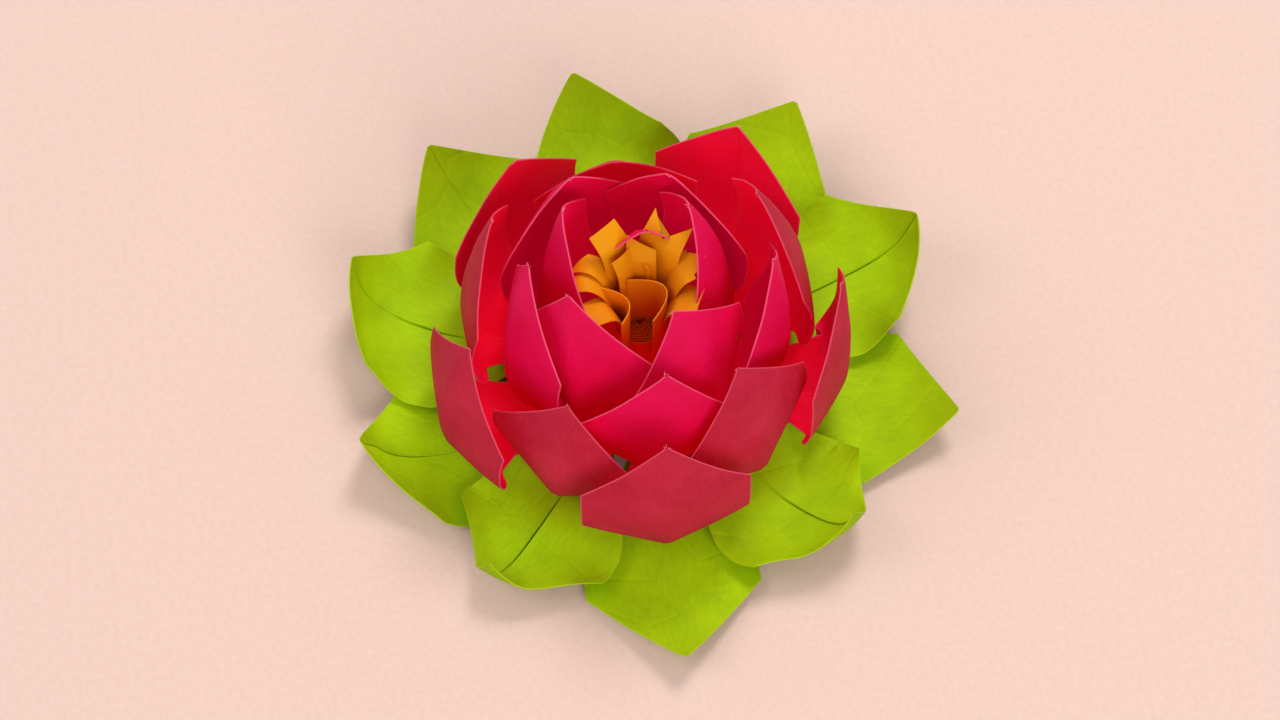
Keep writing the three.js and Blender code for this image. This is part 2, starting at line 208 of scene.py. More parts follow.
def section(half, fold, bend, lifts, seam_open):
    """Rows of across, rise, place across the paper, inner face and distance to the fold."""
    seam = min(SEAM, half / 3)
    steps = seam + (half - seam) * FACE_STEPS
    rows = {}
    for side in (-1, 1):
        lift = lifts[0 if side < 0 else 1]
        inner = []
        for u in [*steps, FLAP_GAP]:
            share = (u - FLAP_GAP) / max(half - FLAP_GAP, 1e-6)
            offset = PLY + lift * max(1 - share, 0) ** FLAP_CURL
            inner.append((*fold_round(u, offset, fold, bend), u, 1.0))
        inner.append((FLAP_GAP / 2, PLY - PLY_DEPTH * seam_open, FLAP_GAP / 2, 1.0))
        outer = [(*fold_round(u, -PLY, fold, bend), u, 0.0) for u in steps]
        edge = [(*fold_round(half + FOLD_BULGE, 0, fold, bend), half, 0.5)]
        loop = inner[::-1] + edge + outer
        rows[side] = [(side * a, r, side * u, face, half - u) for a, r, u, face in loop]
    return np.array(rows[-1] + rows[1][::-1])


# %% Stations along an arm
BODY_STATIONS = 30
TIP_STATIONS = 18
FREE_FROM = (18, 34)  # distance over which the paper comes out from under its neighbours
FLAP_REST = 0.04  # lift of a flap that is pressed flat
FLAP_WAVES = (5.2, 6.7)  # in the two flaps' cut edges, a wavelength over 2 pi
FLAP_FADE = (6, 1)  # distance from the tip over which the flaps close
CRUMPLES = ((0.10, 5.1, 7.3), (0.05, 2.3, -3.7))  # height, wavelengths over 2 pi along and across


def arm_stations(arm, line, shape, backwards, seed):
    steps = np.linalg.norm(np.diff(line, axis=0), axis=1)
    reached = np.concatenate(((0,), np.cumsum(steps)))
    length = reached[-1]
    body = np.linspace(0, length - HALF_WIDTH, BODY_STATIONS)
    tip = np.linspace(length - HALF_WIDTH, length - TIP_END, TIP_STATIONS)[1:]
    slopes = np.gradient(line, reached, axis=0)
    sideways = arm_point(arm, 0, 1, 0)
    rng = np.random.default_rng(seed)
    waves = rng.uniform(0, 2 * math.pi, 4)
    stations = []
    for distance in np.concatenate((body, tip)):
        point = np.array([np.interp(distance, reached, line[:, axis]) for axis in range(3)])
        along = np.array([np.interp(distance, reached, slopes[:, axis]) for axis in range(3)])
        along /= np.linalg.norm(along)
        across = sideways - along * sideways.dot(along)
        across /= np.linalg.norm(across)
        flat = smoothstep(distance, 0, shape["flattening"])
        turn = math.radians(shape["turn"] * flat)
        across = across * math.cos(turn) + np.cross(along, across) * math.sin(turn)
        opened = smoothstep(distance, 0, shape["opening"])
        full = ARM_START_WIDTH / 2 * (1 - opened) + HALF_WIDTH * opened
        half = min(full, length - distance)
        fold = math.radians(WAIST_FOLD * (1 - flat) + shape["crease"] * flat)
        cupped = smoothstep(distance, *shape["cupping"])
        bend = cupped * (1 - shape["keel"]) / shape["cup"]
        fold += cupped * shape["keel"] * HALF_WIDTH / (2 * shape["cup"])
        free = smoothstep(distance, *FREE_FROM)
        wander = 0.5 + 0.5 * np.sin(distance / np.array(FLAP_WAVES) + waves[:2])
        fade = 1 - smoothstep(distance, length - FLAP_FADE[0], length - FLAP_FADE[1])
        lifts = (FLAP_REST + free * shape["lift"] * wander) * fade
        if backwards:
            along, across, lifts = -along, -across, lifts[::-1]
        loop = section(half, fold, bend, lifts, shape["seam"])
        rise = np.cross(along, across)
        heights = loop[:, 1].copy()
        for (size, run, span), wave in zip(CRUMPLES, waves[2:]):
            heights += free * size * np.sin(distance / run + loop[:, 2] / span + wave)
        places = point + np.outer(loop[:, 0], across) + np.outer(heights, rise)
        stations.append((places, loop, ARM_START + distance, length - distance, shape["seam"]))
    return stations[::-1] if backwards else stations


# %% The neck and the waist
NECK_STEPS = 40
NECK_WIDTHS = ((20, WAIST_WIDTH), (31, WAIST_WIDTH + 1.6))  # step on the neck's curve, width there
FAR_FROM_TIP = 60.0


def waist_stations(arms, place, layer):
    x = place * SET_PITCH
    waist = np.array((x, 0, WAIST_HEIGHT + layer * LAYER_PITCH))
    direction = np.array((0, math.copysign(1, math.sin(arm_angle(arms[1]))), 0))
    stations = []

    def add(point, along, width, reach):
        across = np.cross(UP, along)
        across /= np.linalg.norm(across)
        loop = section(width / 2, math.radians(WAIST_FOLD), 0, (0, 0), 0)
        rise = np.cross(along, across)
        places = point + np.outer(loop[:, 0], across) + np.outer(loop[:, 1], rise)
        stations.append((places, loop, reach, FAR_FROM_TIP, 0.0))

    def neck(arm, backwards):
        run = ARM_START / 2 if place == 0 else abs(x * math.tan(arm_angle(arm)))
        bend = waist + np.array((0, math.copysign(run, math.sin(arm_angle(arm))), 0))
        start = arm_point(arm, ARM_START, 0, floor_height(arm, layer, ARM_START))
        line = bezier(waist, bend, start, count=NECK_STEPS + 1)
        for step, width in NECK_WIDTHS:
            along = line[step + 1] - line[step - 1]
            along /= np.linalg.norm(along)
            yield line[step], -along if backwards else along, width, ARM_START * step / NECK_STEPS

    for station in reversed(list(neck(arms[0], True))):
        add(*station)
    for side in (-1, 1):
        add(waist + direction * side * TURNS * THREAD / 2, direction, WAIST_WIDTH, 1.0)
    for station in neck(arms[1], False):
        add(*station)
    return stations


print("stations on one arm:", BODY_STATIONS + TIP_STATIONS - 1)

# %% The whole sheet as a mesh
SHARP_ANGLE = 38


def tube_faces(rows, size, base=0):
    """Faces between rows of points that close on themselves, with a face over either end."""
    faces = []
    for row in range(rows - 1):
        for column in range(size):
            here, beside = base + row * size + column, base + row * size + (column + 1) % size
            faces.append((here, beside, beside + size, here + size))
    faces.append(tuple(range(base, base + size))[::-1])
    last = base + (rows - 1) * size
    faces.append(tuple(range(last, last + size)))
    return faces


def new_piece(name, points, faces):
    """A closed piece from points in millimetres, with its faces turned outwards."""
    mesh = bpy.data.meshes.new(name)
    mesh.from_pydata((np.asarray(points) * MM).tolist(), [], faces)
    fresh = bmesh.new()
    fresh.from_mesh(mesh)
    bmesh.ops.recalc_face_normals(fresh, faces=fresh.faces)
    fresh.to_mesh(mesh)
    fresh.free()
    mesh.shade_smooth()
    mesh.set_sharp_from_angle(angle=math.radians(SHARP_ANGLE))
    piece = bpy.data.objects.new(name, mesh)
    bpy.context.collection.objects.link(piece)
    return piece


def build_sheet(name, stations, tone):
    size = len(stations[0][0])
    points = np.vstack([station[0] for station in stations])
    piece = new_piece(name, points, tube_faces(len(stations), size))
    loops = np.vstack([station[1] for station in stations])
    along, to_tip, seam = (np.repeat([station[i] for station in stations], size) for i in (2, 3, 4))
    facts = {
        "across": loops[:, 2],
        "along": along,
        "inner": loops[:, 3],
        "fold": loops[:, 4],
        "to_tip": to_tip,
        "seam": seam,
        "tone": np.full(len(points), tone),
    }
    for fact, values in facts.items():
        layer = piece.data.attributes.new(fact, "FLOAT", "POINT")
        layer.data.foreach_set("value", values.astype(np.float32))
    return piece


def fold_sheet(name, arms, place, layer, arm_of):
    first, second = (
        arm_stations(arm, *arm_of(arm), backwards, 10 * arm + layer)
        for arm, backwards in zip(arms, (True, False))
    )
    return build_sheet(name, first + waist_stations(arms, place, layer) + second, (place + 2) / 4)


# %% Fold all fifteen sheets
# Two values are for even and odd arms. A floor end is where a petal leaves the leaf and turns up. An
# outer petal on an even arm opens over 38 mm and its solid over 30, which makes its foot less angular.
OUTER_FLOOR_ENDS = (39, 32)
OUTER_OPENINGS = (38, 30)
INNER_FLOOR_END = 18
INNER_OPENING = 25


def leaf_arm(arm):
    cup, lift, seam = LEAVES[arm][4:]
    cupping = (LEAF_REST[1] - ARM_START, 42)
    spread = dict(turn=0, crease=1, opening=32, flattening=24, cupping=cupping)
    return leaf_line(arm), dict(cup=cup, lift=lift, seam=seam, keel=0.15, **spread)


def petal_shape(petal, opening):
    cup, turn = petal[4:]
    spread = dict(turn=turn, crease=4, opening=opening, flattening=40, cupping=(0, 40))
    return dict(cup=cup, lift=0.2, seam=0.8, keel=0.7, **spread)


def outer_arm(arm):
    petal = OUTER_PETALS[arm]
    line = petal_line(arm, 1, petal, OUTER_FLOOR_ENDS[arm % 2])
    return line, petal_shape(petal, OUTER_OPENINGS[arm % 2])


def inner_arm(arm):
    petal = INNER_PETALS[arm]
    return petal_line(arm, 2, petal, INNER_FLOOR_END), petal_shape(petal, INNER_OPENING)


KINDS = {"leaf": leaf_arm, "outer_petal": outer_arm, "inner_petal": inner_arm}
sheets = {kind: [] for kind in KINDS}
for name, (first, second, place) in SETS.items():
    for layer, (kind, arm_of) in enumerate(KINDS.items()):
        folded = fold_sheet(f"folded_{kind}_{name}", (first, second), place, layer, arm_of)
        sheets[kind].append(folded)
print("faces of one sheet:", len(sheets["leaf"][0].data.polygons))

# %% [markdown]
# ## The fringed strip
# The yellow centre is a strip of paper, cut into tabs along one edge and rolled up. Each tab is bent
# by hand: some stand straight, some curl out at the end, and one is cut to a swallow tail. A tab is a
# thin ribbon swept along its own curve, with its end cut to shape, and the roll under it is a spiral.

# %% The roll and its tabs
ROLL_BOTTOM = WAIST_HEIGHT + 2 * LAYER_PITCH + WAIST_RISE + 2 * CLEARANCE + THREAD
ROLL_TOP = ROLL_BOTTOM + 17
ROLL_RADIUS = 5.85
ROLL_SPACING = 0.55  # from one turn of the roll to the next
ROLL_TURNS = 9
TAB_SKIN = 0.12  # half of a tab's thickness
TAB_ROOT = 5  # of a tab inside the roll
TAB_TAPER = 0.12
TAB_HOLLOW = 0.5
CURL_STEPS = 7
CURL_STEP = 0.55
CUT_STEPS = 4  # at the end of a tab, over which it is cut to shape
BOW_BOTTOM = 20
BOW_FALL = 0.05  # of a bowed tab's edge from one step to the next
# Angle, root radius, width, tip radius, tip height, curl of the end in degrees, cut of the end.
TABS = [
    (125, 5, 8, 8.5, 46.5, 4, "straight"),
    (50, 5, 10.5, 8.5, 45.5, 8, "swallow"),
    (8, 5, 8, 9.5, 43, 4, "point"),
    (335, 5, 8, 9.5, 39, 12, "straight"),
    (174, 5, 5, 11, 42, 80, "straight"),
    (155, 5, 5, 10, 43, 65, "slant"),
    (205, 5, 7, 9.5, 38.5, 15, "straight"),
    (80, 2.5, 7, 4, 43.5, 5, "slant"),
    (130, 2.5, 6, 3.5, 42.5, 5, "straight"),
]
# Tabs that stand up in a bow, as the corners of their upper edge seen from above, and its height.
BOWED_TABS = [
    (((-9.2, 0.8), (-3.4, -1.2), (-0.4, -3.2), (-5, -8.2)), 40),
    (((-2.6, 1.2), (5.2, 0.8), (8.6, -1.2), (1.6, -8.6)), 40.5),
    (((-2.3, 7.4), (-0.4, 5), (1.2, 3.2), (2.1, 1.9)), 44),
]
CUTS = {
    "straight": lambda s: 0.0,
    "slant": lambda s: 1.6 * s,
    "point": lambda s: -4.5 * abs(s) + 1.5,
    "swallow": lambda s: 5.0 * abs(s) - 3.2,
}


def tab_rows(tab):
    angle, root, width, tip_radius, tip_height, curl, cut = tab
    out = np.array((math.cos(math.radians(angle)), math.sin(math.radians(angle)), 0))
    across = np.array((-out[1], out[0], 0))
    start = out * root + UP * (ROLL_TOP - TAB_ROOT)
    bend = out * root + UP * (ROLL_TOP + 0.9 * (tip_height - ROLL_TOP))
    line = bezier(start, bend, out * tip_radius + UP * tip_height, count=19)
    heading = line[-1] - line[-2]
    lean = math.atan2(heading[2], heading.dot(out))
    extra = []
    point = line[-1]
    for _ in range(CURL_STEPS):
        lean -= math.radians(curl) / CURL_STEPS
        point = point + CURL_STEP * (out * math.cos(lean) + UP * math.sin(lean))
        extra.append(point)
    line = np.vstack((line, extra))
    along = np.gradient(line, axis=0)
    along /= np.linalg.norm(along, axis=1)[:, None]
    rows = []
    last = len(line) - 1
    for index, (point, direction) in enumerate(zip(line, along)):
        rise = np.cross(direction, across)
        row = []
        for face in (1, -1):
            for s in np.linspace(-1, 1, 9)[::face]:
                taper = 1 - TAB_TAPER * index / last
                hollow = TAB_HOLLOW * s * s * index / last
                share = max(0, index - last + CUT_STEPS) / CUT_STEPS
                place = point + across * s * width / 2 * taper - rise * (hollow - face * TAB_SKIN)
                row.append(place + direction * CUTS[cut](s) * share)
        rows.append(row)
    return np.array(rows)


def spiral_rows():
    corners = ((1, ROLL_BOTTOM), (1, ROLL_TOP), (-1, ROLL_TOP), (-1, ROLL_BOTTOM))
    rows = []
    for angle in np.arange(0, 2 * math.pi * ROLL_TURNS, math.radians(10)):
        radius = ROLL_RADIUS - ROLL_SPACING * angle / (2 * math.pi)
        out = np.array((math.cos(angle), math.sin(angle), 0))
        rows.append([out * (radius + side * TAB_SKIN) + UP * z for side, z in corners])
    return np.array(rows)


def bowed_rows(corners, top):
    path = bezier(*[np.array((*corner, 0.0)) for corner in corners], count=25)
    along = np.gradient(path, axis=0)
    along /= np.linalg.norm(along, axis=1)[:, None]
    rows = []
    for index, (place, direction) in enumerate(zip(path, along)):
        out = np.cross(direction, UP) * TAB_SKIN
        high = top - BOW_FALL * index
        edges = ((1, BOW_BOTTOM), (1, high), (-1, high), (-1, BOW_BOTTOM))
        rows.append([place + out * side + UP * z for side, z in edges])
    return np.array(rows)


ribbons = [bowed_rows(*tab) for tab in BOWED_TABS] + [tab_rows(tab) for tab in TABS] + [spiral_rows()]
strip_points, strip_faces = [], []
for rows in ribbons:
    strip_faces += tube_faces(len(rows), rows.shape[1], len(strip_points))
    strip_points.extend(rows.reshape(-1, 3).tolist())
fringe = new_piece("fringed_strip", strip_points, strip_faces)
print("tabs:", len(TABS) + len(BOWED_TABS), "faces:", len(fringe.data.polygons))

# %% [markdown]
# ## The thread
# Three turns of cotton hold the waist. They follow a path and repeat, so Geometry Nodes make them: a
# rounded rectangle round the bundle is the path, a small circle is the thread's section, and the
# turns are laid side by side. The tree's sizes are named inputs, and the result is turned to a mesh.

# %% Helpers for nodes
def add_node(tree, kind, links=(), values=(), **settings):
    """One node: settings are its own options, values and links go to its inputs."""
    node = tree.nodes.new(kind)
    for option, value in settings.items():
        setattr(node, option, value)
    for target, value in values:
        node.inputs[target].default_value = value
    for target, source in links:
        tree.links.new(source, node.inputs[target])
    return node


def linear(hex_colour):
    """An sRGB hex value as linear red, green, blue and alpha."""
    values = [int(hex_colour[i : i + 2], 16) / 255 for i in (1, 3, 5)]
    return tuple(v / 12.92 if v <= 0.04045 else ((v + 0.055) / 1.055) ** 2.4 for v in values) + (1.0,)


def nodes_to_mesh(piece, tree, values):
    """Runs a tree on a piece with its inputs set, and leaves the piece as a plain mesh."""
    modifier = piece.modifiers.new("shape", "NODES")
    modifier.node_group = tree
    for item in tree.interface.items_tree:
        if item.item_type == "SOCKET" and item.in_out == "INPUT" and item.name in values:
            modifier[item.identifier] = values[item.name]
    ready = piece.evaluated_get(bpy.context.evaluated_depsgraph_get())
    mesh = bpy.data.meshes.new_from_object(ready)
    piece.modifiers.remove(modifier)
    piece.data = mesh
    return piece


print("helpers:", add_node.__name__, linear.__name__, nodes_to_mesh.__name__)

# %% The turns of the thread
THREAD_TOP = ROLL_BOTTOM - CLEARANCE
BUNDLE_HALF = 2 * SET_PITCH + 2.4
tree = bpy.data.node_groups.new("thread_turns", "GeometryNodeTree")
tree.interface.new_socket("Geometry", in_out="OUTPUT", socket_type="NodeSocketGeometry")
tree.interface.new_socket("Geometry", in_out="INPUT", socket_type="NodeSocketGeometry")
for label in ("Thread diameter", "Path width", "Path height", "Middle height"):
    tree.interface.new_socket(label, in_out="INPUT", socket_type="NodeSocketFloat")
tree.interface.new_socket("Turns", in_out="INPUT", socket_type="NodeSocketInt")
tree.interface.new_socket("Finish", in_out="INPUT", socket_type="NodeSocketMaterial")
given = add_node(tree, "NodeGroupInput").outputs
path = add_node(
    tree, "GeometryNodeCurvePrimitiveQuadrilateral", [(0, given["Path width"]), (1, given["Path height"])]
)
rounded = add_node(
    tree,
    "GeometryNodeFilletCurve",
    [("Curve", path.outputs[0]), ("Radius", given["Thread diameter"])],
    [("Count", 6)],
    mode="POLY",
)
half_thread = add_node(
    tree, "ShaderNodeMath", [(0, given["Thread diameter"])], [(1, 0.5)], operation="MULTIPLY"
)
ring = add_node(
    tree, "GeometryNodeCurvePrimitiveCircle", [("Radius", half_thread.outputs[0])], [("Resolution", 10)]
)
tube = add_node(
    tree, "GeometryNodeCurveToMesh", [("Curve", rounded.outputs[0]), ("Profile Curve", ring.outputs[0])]
)
middle = add_node(tree, "ShaderNodeCombineXYZ", [("Z", given["Middle height"])])
upright = add_node(
    tree,
    "GeometryNodeTransform",
    [("Geometry", tube.outputs[0]), ("Translation", middle.outputs[0])],
    [("Rotation", (math.pi / 2, 0, 0))],
)
step = add_node(tree, "ShaderNodeCombineXYZ", [("Y", given["Thread diameter"])])
row = add_node(tree, "GeometryNodeMeshLine", [("Count", given["Turns"]), ("Offset", step.outputs[0])])
back = add_node(
    tree, "ShaderNodeVectorMath", [(0, step.outputs[0])], [(1, (-1, -1, -1))], operation="MULTIPLY"
)
centred = add_node(
    tree, "GeometryNodeTransform", [("Geometry", row.outputs[0]), ("Translation", back.outputs[0])]
)
turns = add_node(
    tree, "GeometryNodeInstanceOnPoints", [("Points", centred.outputs[0]), ("Instance", upright.outputs[0])]
)
plain = add_node(tree, "GeometryNodeRealizeInstances", [("Geometry", turns.outputs[0])])
smooth = add_node(tree, "GeometryNodeSetShadeSmooth", [("Geometry", plain.outputs[0])])
painted = add_node(
    tree, "GeometryNodeSetMaterial", [("Geometry", smooth.outputs[0]), ("Material", given["Finish"])]
)
add_node(tree, "NodeGroupOutput", [(0, painted.outputs[0])])
cotton = bpy.data.materials.new("twisted_cotton")
thread = bpy.data.objects.new("thread_turns", bpy.data.meshes.new("thread_turns"))
bpy.context.collection.objects.link(thread)
thread_values = {
    "Thread diameter": THREAD * MM,
    "Path width": (2 * (BUNDLE_HALF + CLEARANCE) + THREAD) * MM,
    "Path height": (THREAD_TOP - THREAD) * MM,
    "Middle height": THREAD_TOP / 2 * MM,
    "Turns": TURNS,
    "Finish": cotton,
}
nodes_to_mesh(thread, tree, thread_values)
print("thread faces:", len(thread.data.polygons))

# %% [markdown]
# ## Frayed tips
# Paper that is folded over and over breaks at its sharpest points, and a few fibres stand out there.
# Geometry Nodes set short fibres on the tips of the petals, turned at random with a fixed seed.

# %% Fibres on the tips
FIBRE_LENGTH = 0.9
FIBRE_WIDTH = 0.09
FIBRE_SIDES = (-0.5, -0.1, 0.3)
FIBRE_SINK = 0.35
FIBRE_SEED = 7
tips = []
for petals in (OUTER_PETALS, INNER_PETALS):
    for arm, (radius, height, middle, *_) in enumerate(petals):
        tips += [arm_point(arm, radius, middle + side, height - FIBRE_SINK) * MM for side in FIBRE_SIDES]
fray_tree = bpy.data.node_groups.new("tip_fibres", "GeometryNodeTree")
fray_tree.interface.new_socket("Geometry", in_out="OUTPUT", socket_type="NodeSocketGeometry")
fray_inputs = {
    "Geometry": "Geometry",
    "Length": "Float",
    "Width": "Float",
    "Seed": "Int",
    "Finish": "Material",
}
for label, kind in fray_inputs.items():
    fray_tree.interface.new_socket(label, in_out="INPUT", socket_type="NodeSocket" + kind)
given = add_node(fray_tree, "NodeGroupInput").outputs
fibre = add_node(
    fray_tree,
    "GeometryNodeMeshCone",
    [("Radius Bottom", given["Width"]), ("Depth", given["Length"])],
    [("Vertices", 5), ("Radius Top", 0.00001)],
)
spin = add_node(
    fray_tree,
    "FunctionNodeRandomValue",
    [("Seed", given["Seed"])],
    [(0, (-0.9, -0.9, 0.0)), (1, (0.9, 0.9, 6.28))],
    data_type="FLOAT_VECTOR",
)
set_on = add_node(
    fray_tree,
    "GeometryNodeInstanceOnPoints",
    [("Points", given["Geometry"]), ("Instance", fibre.outputs[0]), ("Rotation", spin.outputs[0])],
)
plain = add_node(fray_tree, "GeometryNodeRealizeInstances", [("Geometry", set_on.outputs[0])])
painted = add_node(
    fray_tree, "GeometryNodeSetMaterial", [("Geometry", plain.outputs[0]), ("Material", given["Finish"])]
)
add_node(fray_tree, "NodeGroupOutput", [(0, painted.outputs[0])])
fray_paper = bpy.data.materials.new("torn_rose_fibre")
mesh = bpy.data.meshes.new("tip_fibres")
mesh.from_pydata([tuple(tip) for tip in tips], [], [])
fibres = bpy.data.objects.new("tip_fibres", mesh)
bpy.context.collection.objects.link(fibres)
fray_values = {
    "Length": FIBRE_LENGTH * MM,
    "Width": FIBRE_WIDTH * MM,
    "Seed": FIBRE_SEED,
    "Finish": fray_paper,
}
nodes_to_mesh(fibres, fray_tree, fray_values)
print("fibres:", len(tips))

# %% [markdown]
# ## Dyed paper
# Craft paper is dyed in the pulp and pressed. Close to, its colour is a little cloudy, short fibres
# lie in it, and creases from handling cross it. Every fold is paler, a painted highlight with some
# rubbing. The inner face is painted brighter than the outer, with a faint painted glow, for the light
# on it and through it. The finish reads the sheet's own measures along and across the paper, so a
# fibre is the same size on every petal.


# %% A finish for a dyed sheet
def shader_of(material):
    material.use_nodes = True
    tree = material.node_tree
    return tree, next(node for node in tree.nodes if node.type == "BSDF_PRINCIPLED")


def two_tone(tree, share, dark, light):
    """A colour between two sRGB hex values."""
    values = [(6, linear(dark)), (7, linear(light))]
    return add_node(tree, "ShaderNodeMix", [(0, share)], values, data_type="RGBA").outputs[2]


def paper(name, outer, inner, fold_highlight_and_wear, aged, glow):
    """Dark and light of the outer and inner face, a fold's painted highlight and wear, a tip, and a painted
    glow for the light let through.
    """
    material = bpy.data.materials.new(name)
    tree, shader = shader_of(material)
    fact = {
        key: add_node(tree, "ShaderNodeAttribute", attribute_name=key).outputs["Fac"]
        for key in ("across", "along", "inner", "fold", "to_tip", "seam", "tone")
    }
    # Each face and each sheet has its own stretch of pattern, far from the others.
    depth = add_node(
        tree, "ShaderNodeMath", [(0, fact["inner"]), (2, fact["tone"])], [(1, 0.01)], operation="MULTIPLY_ADD"
    )
    apart = add_node(tree, "ShaderNodeMath", [(0, depth.outputs[0])], [(1, 900.0)], operation="MULTIPLY")
    sheet = add_node(
        tree, "ShaderNodeCombineXYZ", [("X", fact["across"]), ("Y", fact["along"]), ("Z", apart.outputs[0])]
    )
    cloud = add_node(
        tree, "ShaderNodeTexNoise", [("Vector", sheet.outputs[0])], [("Scale", 1 / 11), ("Detail", 3.0)]
    )
    # Fibres are about 0.2 mm wide. They are drawn at 0.7 mm so that they show.
    stretched = add_node(
        tree, "ShaderNodeMapping", [("Vector", sheet.outputs[0])], [("Scale", (1.0, 0.3, 1.0))]
    )
    fibre = add_node(
        tree, "ShaderNodeTexNoise", [("Vector", stretched.outputs[0])], [("Scale", 1 / 0.7), ("Detail", 2.0)]
    )
    shade = add_node(
        tree,
        "ShaderNodeMath",
        [(0, fibre.outputs[0]), (2, cloud.outputs[0])],
        [(1, 0.5)],
        operation="MULTIPLY_ADD",
    )
    level = add_node(
        tree, "ShaderNodeMapRange", [("Value", shade.outputs[0])], [("From Min", 0.45), ("From Max", 1.05)]
    )
    # One paper is painted brighter on its inner face than on its outer face: painted light and shade.
    faces = [two_tone(tree, level.outputs[0], *colours) for colours in (outer, inner)]
    both = add_node(
        tree, "ShaderNodeMix", [(0, fact["inner"]), (6, faces[0]), (7, faces[1])], data_type="RGBA"
    )
    old = add_node(
        tree,
        "ShaderNodeMapRange",
        [("Value", fact["to_tip"])],
        [("From Min", 16.0), ("From Max", 0.0), ("To Max", 0.75)],
    )
    cloudy = add_node(
        tree, "ShaderNodeMath", [(0, old.outputs[0]), (1, cloud.outputs[0])], operation="MULTIPLY"
    )
    tipped = add_node(
        tree,
        "ShaderNodeMix",
        [(0, cloudy.outputs[0]), (6, both.outputs[2])],
        [(7, linear(aged))],
        data_type="RGBA",
    )
    # Painted highlight with some rubbing: the paper is paler along every fold.
    fold_highlight_and_wear_share = add_node(
        tree,
        "ShaderNodeMapRange",
        [("Value", fact["fold"])],
        [("From Min", 0.35), ("From Max", 0.0), ("To Max", 0.4)],
    )
    edged = add_node(
        tree,
        "ShaderNodeMix",
        [(0, fold_highlight_and_wear_share.outputs[0]), (6, tipped.outputs[2])],
        [(7, linear(fold_highlight_and_wear))],
        data_type="RGBA",
    )
    tree.links.new(edged.outputs[2], shader.inputs["Base Color"])
    # Handling creases: long straight-sided cells about 16 mm across.
    crease = add_node(
        tree,
        "ShaderNodeTexVoronoi",
        [("Vector", sheet.outputs[0])],
        [("Scale", 1 / 16)],
        feature="DISTANCE_TO_EDGE",
    )
    valley = add_node(
        tree,
        "ShaderNodeMapRange",
        [("Value", crease.outputs["Distance"])],
        [("From Max", 0.04), ("To Max", 0.6)],
    )
    keel = add_node(tree, "ShaderNodeMath", [(0, fact["across"])], operation="ABSOLUTE")
    ridge = add_node(
        tree,
        "ShaderNodeMapRange",
        [("Value", keel.outputs[0])],
        [("From Min", 0.0), ("From Max", 0.7), ("To Min", 0.8), ("To Max", 0.0)],
    )
    pressed = add_node(
        tree,
        "ShaderNodeMath",
        [(0, ridge.outputs[0]), (1, fact["seam"]), (2, valley.outputs[0])],
        operation="MULTIPLY_ADD",
    )
    relief = add_node(
        tree,
        "ShaderNodeMath",
        [(0, fibre.outputs[0]), (2, pressed.outputs[0])],
        [(1, 0.35)],
        operation="MULTIPLY_ADD",
    )
    bump = add_node(
        tree, "ShaderNodeBump", [("Height", relief.outputs[0])], [("Strength", 0.35), ("Distance", 0.00025)]
    )
    tree.links.new(bump.outputs[0], shader.inputs["Normal"])
    rough = add_node(
        tree,
        "ShaderNodeMapRange",
        [("Value", fibre.outputs[0])],
        [("To Min", 0.58), ("To Max", 0.78)],
    )
    tree.links.new(rough.outputs[0], shader.inputs["Roughness"])
    # A painted glow: the inner face gives off a little of its own colour for the light that comes through one
    # thickness of paper, so that it is never quite dark.
    through = add_node(
        tree, "ShaderNodeMix", [(0, fact["inner"]), (7, faces[1])], [(6, (0, 0, 0, 1))], data_type="RGBA"
    )
    tree.links.new(through.outputs[2], shader.inputs["Emission Color"])
    shader.inputs["Emission Strength"].default_value = glow
    shader.inputs["IOR"].default_value = 1.45
    shader.inputs["Specular IOR Level"].default_value = 0.15
    return material


# %% The three papers of the sheets
# Two copies of one rose paper with painted light and shade: the outer petals' outer faces are painted darker
# than the inner petals', and every inner face brighter than an outer one.
rose_outer = paper(
    "dyed_rose_paper_outer", ("#b01030", "#c62844"), ("#fa0034", "#ff1048"), "#e8708e", "#be2040", 0.1
)
rose_inner = paper(
    "dyed_rose_paper_inner", ("#d80042", "#e80858"), ("#f0004c", "#ff0a5c"), "#f484a4", "#da1454", 0.08
)
green = paper("dyed_green_paper", ("#86aa00", "#9cc200"), ("#96bc00", "#b0d800"), "#b8d020", "#98a000", 0.02)
print("paper finishes:", rose_outer.name, rose_inner.name, green.name)

# %% [markdown]
# ## Yellow paper, torn fibres and cotton
# The strip is painted a darker, deeper orange down in the roll, for the shade and warm glow there,
# and paler at the cut ends.
# Two tones and a fine grain are enough for it. The torn fibres show the paler inside of the paper.

# %% Paper of the strip
yellow = bpy.data.materials.new("dyed_yellow_paper")
tree, shader = shader_of(yellow)
place = add_node(tree, "ShaderNodeTexCoord").outputs["Object"]
height = add_node(tree, "ShaderNodeSeparateXYZ", [("Vector", place)])
# Painted shade and warm glow: the strip is a darker, deeper orange low in the roll.
height_for_painted_shade = add_node(
    tree, "ShaderNodeMapRange", [("Value", height.outputs["Z"])], [("From Min", 0.018), ("From Max", 0.05)]
)
grain = add_node(tree, "ShaderNodeTexNoise", [("Vector", place)], [("Scale", 1 / 0.0008), ("Detail", 3.0)])
mixed = add_node(
    tree,
    "ShaderNodeMath",
    [(0, grain.outputs[0]), (2, height_for_painted_shade.outputs[0])],
    [(1, 0.25)],
    operation="MULTIPLY_ADD",
)
tint = two_tone(tree, mixed.outputs[0], "#fa5c06", "#e29604")
tree.links.new(tint, shader.inputs["Base Color"])
bump = add_node(
    tree, "ShaderNodeBump", [("Height", grain.outputs[0])], [("Strength", 0.25), ("Distance", 0.0002)]
)
tree.links.new(bump.outputs[0], shader.inputs["Normal"])
shader.inputs["Roughness"].default_value = 0.65
shader.inputs["Specular IOR Level"].default_value = 0.15
print("strip finish:", yellow.name)

